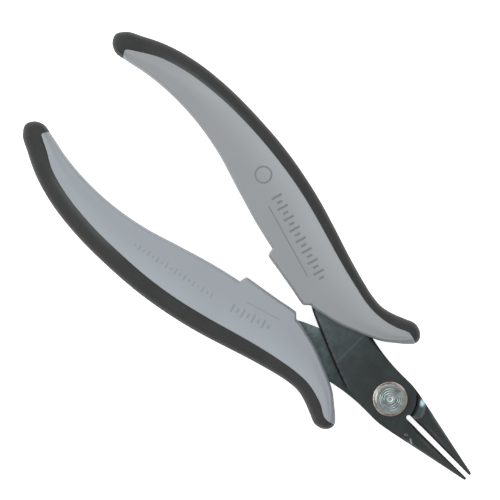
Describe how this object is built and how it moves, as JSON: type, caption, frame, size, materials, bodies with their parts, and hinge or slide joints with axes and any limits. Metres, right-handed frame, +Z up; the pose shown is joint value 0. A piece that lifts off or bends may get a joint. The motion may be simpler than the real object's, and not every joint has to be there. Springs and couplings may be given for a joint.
{
  "type": "round nose pliers",
  "caption": "Slim round nose pliers with two lapped steel halves on a rivet and curved two-colour grips, lying flat.",
  "frame": {"origin": "centre of the tool's outline on the surface that it lies on; the pivot is at x = 44.3 mm, y = 0", "axes": "+X along the tool towards the tips, +Y across it towards the front half's handle, +Z up along the pivot"},
  "size_m": [0.1462, 0.0554, 0.0106],
  "materials": {
    "tool_steel": "black oxide, satin",
    "rivet_steel": "bright zinc over turned rings",
    "washer_bronze": "satin bronze",
    "grip_plastic": "fine matt moulded grey",
    "grip_rubber": "soft matt black"
  },
  "bodies": {
    "rear_arm": {"rear_half": "tool_steel", "pivot_rivet": "rivet_steel", "front_bearing_washer": "washer_bronze", "rear_bearing_washer": "washer_bronze", "rear_grip_body": "grip_plastic", "rear_grip_strap": "grip_rubber"},
    "front_arm": {"front_half": "tool_steel", "front_grip_body": "grip_plastic", "front_grip_strap": "grip_rubber"}
  },
  "joints": [
    {"name": "pivot", "type": "hinge", "parent": "rear_arm", "child": "front_arm", "pos_m": [0.0443, 0, 0.0053], "axis": [0, 0, -1], "range_deg": [-1.9, 16]}
  ]
}
